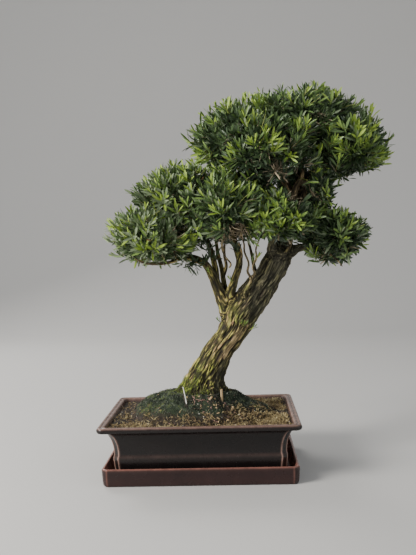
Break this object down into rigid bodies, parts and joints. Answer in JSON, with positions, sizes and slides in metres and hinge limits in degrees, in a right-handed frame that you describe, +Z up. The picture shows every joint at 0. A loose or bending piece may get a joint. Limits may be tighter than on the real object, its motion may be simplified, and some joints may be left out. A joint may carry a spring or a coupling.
{
  "type": "boxwood bonsai tree in a pot",
  "caption": "Leaning boxwood bonsai with ridged trunk, forked boughs and dense leafy pads, in a glazed rectangular pot with mossy soil, standing in a shallow drip tray",
  "frame": {"origin": "centre of the tray's flat underside", "axes": "+Z up, +X to the right along the tray's long side as the picture shows it, +Y away from the viewer"},
  "size_m": [0.4496, 0.2562, 0.593],
  "materials": {
    "tray_glaze": "glossy brown glaze",
    "pot_glaze": "glossy dark brown glaze",
    "soil": "rough soil with pale husks",
    "moss": "dark moss over soil",
    "bark": "corky ridged bark",
    "leaves": "small glossy evergreen leaves on twigs"
  },
  "bodies": {
    "root": {"bough_back_left": "bark", "bough_back_right": "bark", "bough_front": "bark", "bough_left_high": "bark", "bough_left_low": "bark", "bough_middle": "bark", "bough_right": "bark", "bough_right_mid": "bark", "bough_top_front": "bark", "bough_top_left": "bark", "bough_top_right": "bark", "leader": "bark", "mass_back_left": "leaves", "mass_back_right": "leaves", "mass_centre": "leaves", "mass_front_low": "leaves", "mass_left_high": "leaves", "mass_left_low": "leaves", "mass_right_low": "leaves", "mass_right_mid": "leaves", "mass_top_front": "leaves", "mass_top_left": "leaves", "mass_top_mid": "leaves", "mass_top_right": "leaves", "moss_mound": "moss", "pot": "pot_glaze", "soil": "soil", "tray": "tray_glaze", "trunk": "bark"}
  },
  "joints": []
}
